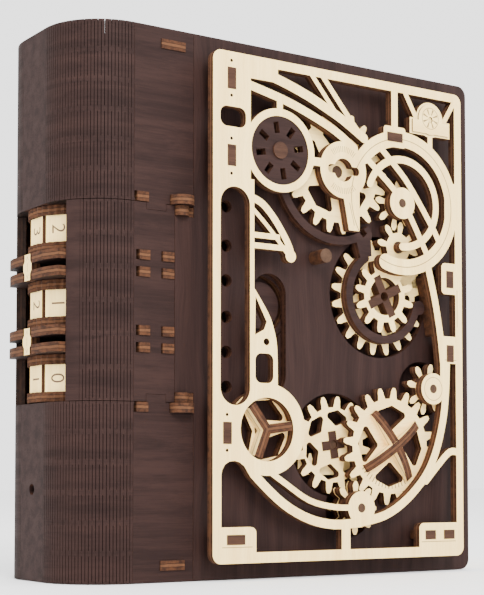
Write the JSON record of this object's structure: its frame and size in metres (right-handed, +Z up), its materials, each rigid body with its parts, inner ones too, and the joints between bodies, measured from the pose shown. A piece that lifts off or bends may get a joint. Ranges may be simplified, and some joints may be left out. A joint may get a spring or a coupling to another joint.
{
  "type": "book-shaped puzzle safe",
  "caption": "Laser-cut plywood book safe with turning number rings in the spine, a hinged front cover with gear trains, a key dial and two bolts.",
  "frame": {"origin": "centre of the bounding box on the ground, under the closed book", "axes": "+Z up along the height of the book, -Y out of the front cover, -X out of the spine, +X to the fore edge"},
  "size_m": [0.156, 0.0637, 0.17],
  "materials": {
    "stained_ply": "matt",
    "birch_ply": "matt",
    "burnt_ply": "matt",
    "dowel": "matt"
  },
  "bodies": {
    "case": {"back_cover": "stained_ply", "spine_wrap_top": "stained_ply", "spine_wrap_bottom": "stained_ply", "spine_panel_front": "stained_ply", "spine_panel_back": "stained_ply", "spine_cap_top": "burnt_ply", "spine_cap_bottom": "burnt_ply", "hinge_plate_top": "burnt_ply", "hinge_plate_bottom": "burnt_ply", "ring_supports": "stained_ply", "code_pointers": "birch_ply", "ring_spindle": "burnt_ply", "code_comb": "burnt_ply", "inner_wall": "stained_ply", "page_wall_top": "birch_ply", "page_wall_bottom": "birch_ply", "page_wall_fore_edge": "birch_ply", "hinge_pins": "dowel"},
    "code_ring_1": {"ring_drum_1": "burnt_ply", "ring_flanges_1": "burnt_ply", "ring_tiles_1": "birch_ply"},
    "code_ring_2": {"ring_drum_2": "burnt_ply", "ring_flanges_2": "burnt_ply", "ring_tiles_2": "birch_ply"},
    "code_ring_3": {"ring_drum_3": "burnt_ply", "ring_flanges_3": "burnt_ply", "ring_tiles_3": "birch_ply"},
    "cover": {"cover_plate": "stained_ply", "bay_frame": "burnt_ply", "cover_back_plate": "stained_ply", "hinge_knuckles": "burnt_ply", "overlay_frame": "birch_ply", "standoffs": "burnt_ply", "gear_bracket": "stained_ply", "gear_pins": "dowel", "window_ring": "stained_ply", "title_plate": "birch_ply"},
    "key_wheel": {"key_gear": "birch_ply"},
    "upper_idler_wheel": {"upper_idler": "birch_ply"},
    "lower_idler_wheel": {"lower_idler": "birch_ply"},
    "compound_wheel": {"compound_small_gear": "birch_ply", "compound_large_gear": "birch_ply", "compound_cross_axle": "burnt_ply", "upper_bolt_pinion": "burnt_ply"},
    "upper_bolt_slide": {"upper_bolt": "burnt_ply"},
    "drive_knob": {"drive_gear": "birch_ply", "knob_blade_long": "burnt_ply", "knob_blade_short": "burnt_ply"},
    "right_pinion_wheel": {"right_pinion": "birch_ply"},
    "twin_pinion_wheel": {"twin_pinion": "birch_ply"},
    "window_wheel": {"window_gear": "birch_ply", "window_gear_cross": "burnt_ply", "lower_bolt_pinion": "burnt_ply"},
    "lower_bolt_slide": {"lower_bolt": "burnt_ply"},
    "grip_wheel": {"hand_wheel": "birch_ply", "hand_wheel_grips": "burnt_ply"},
    "slotted_dial": {"dial_disc": "stained_ply", "dial_axle": "burnt_ply"}
  },
  "joints": [
    {"name": "cover_swing", "type": "hinge", "parent": "case", "child": "cover", "pos_m": [-0.0392, -0.024, 0.085], "axis": [0, 0, -1], "range_deg": [0, 120]},
    {"name": "code_ring_1_turn", "type": "hinge", "parent": "case", "child": "code_ring_1", "pos_m": [-0.0598, 0.0038, 0.108], "axis": [0, 0, 1], "continuous": true},
    {"name": "code_ring_2_turn", "type": "hinge", "parent": "case", "child": "code_ring_2", "pos_m": [-0.0598, 0.0038, 0.085], "axis": [0, 0, 1], "continuous": true},
    {"name": "code_ring_3_turn", "type": "hinge", "parent": "case", "child": "code_ring_3", "pos_m": [-0.0598, 0.0038, 0.062], "axis": [0, 0, 1], "continuous": true},
    {"name": "key_turn", "type": "hinge", "parent": "cover", "child": "key_wheel", "pos_m": [0.0184, -0.0262, 0.1322], "axis": [0, -1, 0], "range_deg": [0, 54]},
    {"name": "upper_idler_turn", "type": "hinge", "parent": "cover", "child": "upper_idler_wheel", "pos_m": [0.0433, -0.0262, 0.1239], "axis": [0, -1, 0], "range_deg": [-145, 0]},
    {"name": "lower_idler_turn", "type": "hinge", "parent": "cover", "child": "lower_idler_wheel", "pos_m": [0.0441, -0.0262, 0.1094], "axis": [0, -1, 0], "range_deg": [0, 145]},
    {"name": "compound_turn", "type": "hinge", "parent": "cover", "child": "compound_wheel", "pos_m": [0.0382, -0.0262, 0.0924], "axis": [0, -1, 0], "range_deg": [-97, 0]},
    {"name": "upper_bolt_travel", "type": "slide", "parent": "cover", "child": "upper_bolt_slide", "axis": [1, 0, 0], "range_m": [0, 0.0061]},
    {"name": "drive_turn", "type": "hinge", "parent": "cover", "child": "drive_knob", "pos_m": [0.0403, -0.0262, 0.0422], "axis": [0, -1, 0], "range_deg": [0, 76]},
    {"name": "right_pinion_turn", "type": "hinge", "parent": "cover", "child": "right_pinion_wheel", "pos_m": [0.05645, -0.0262, 0.0618], "axis": [0, -1, 0], "range_deg": [-193, 0]},
    {"name": "twin_pinion_turn", "type": "hinge", "parent": "cover", "child": "twin_pinion_wheel", "pos_m": [0.0254, -0.0262, 0.0218], "axis": [0, -1, 0], "range_deg": [-193, 0]},
    {"name": "window_gear_turn", "type": "hinge", "parent": "cover", "child": "window_wheel", "pos_m": [0.019, -0.0262, 0.04245], "axis": [0, -1, 0], "range_deg": [0, 97]},
    {"name": "lower_bolt_travel", "type": "slide", "parent": "cover", "child": "lower_bolt_slide", "axis": [1, 0, 0], "range_m": [0, 0.0061]},
    {"name": "grip_wheel_turn", "type": "hinge", "parent": "cover", "child": "grip_wheel", "pos_m": [-0.0119, -0.0262, 0.0467], "axis": [0, -1, 0], "continuous": true},
    {"name": "dial_turn", "type": "hinge", "parent": "cover", "child": "slotted_dial", "pos_m": [-0.0068, -0.0262, 0.1355], "axis": [0, -1, 0], "continuous": true}
  ],
  "couplings": [
    {"joint": "upper_idler_turn", "follows": "key_turn", "ratio": -2.625},
    {"joint": "lower_idler_turn", "follows": "key_turn", "ratio": 2.625},
    {"joint": "compound_turn", "follows": "key_turn", "ratio": -1.75},
    {"joint": "upper_bolt_travel", "follows": "key_turn", "m_per_rad": 0.0063},
    {"joint": "right_pinion_turn", "follows": "drive_turn", "ratio": -2.5},
    {"joint": "twin_pinion_turn", "follows": "drive_turn", "ratio": -2.5},
    {"joint": "window_gear_turn", "follows": "drive_turn", "ratio": 1.25},
    {"joint": "lower_bolt_travel", "follows": "drive_turn", "m_per_rad": 0.0045}
  ]
}
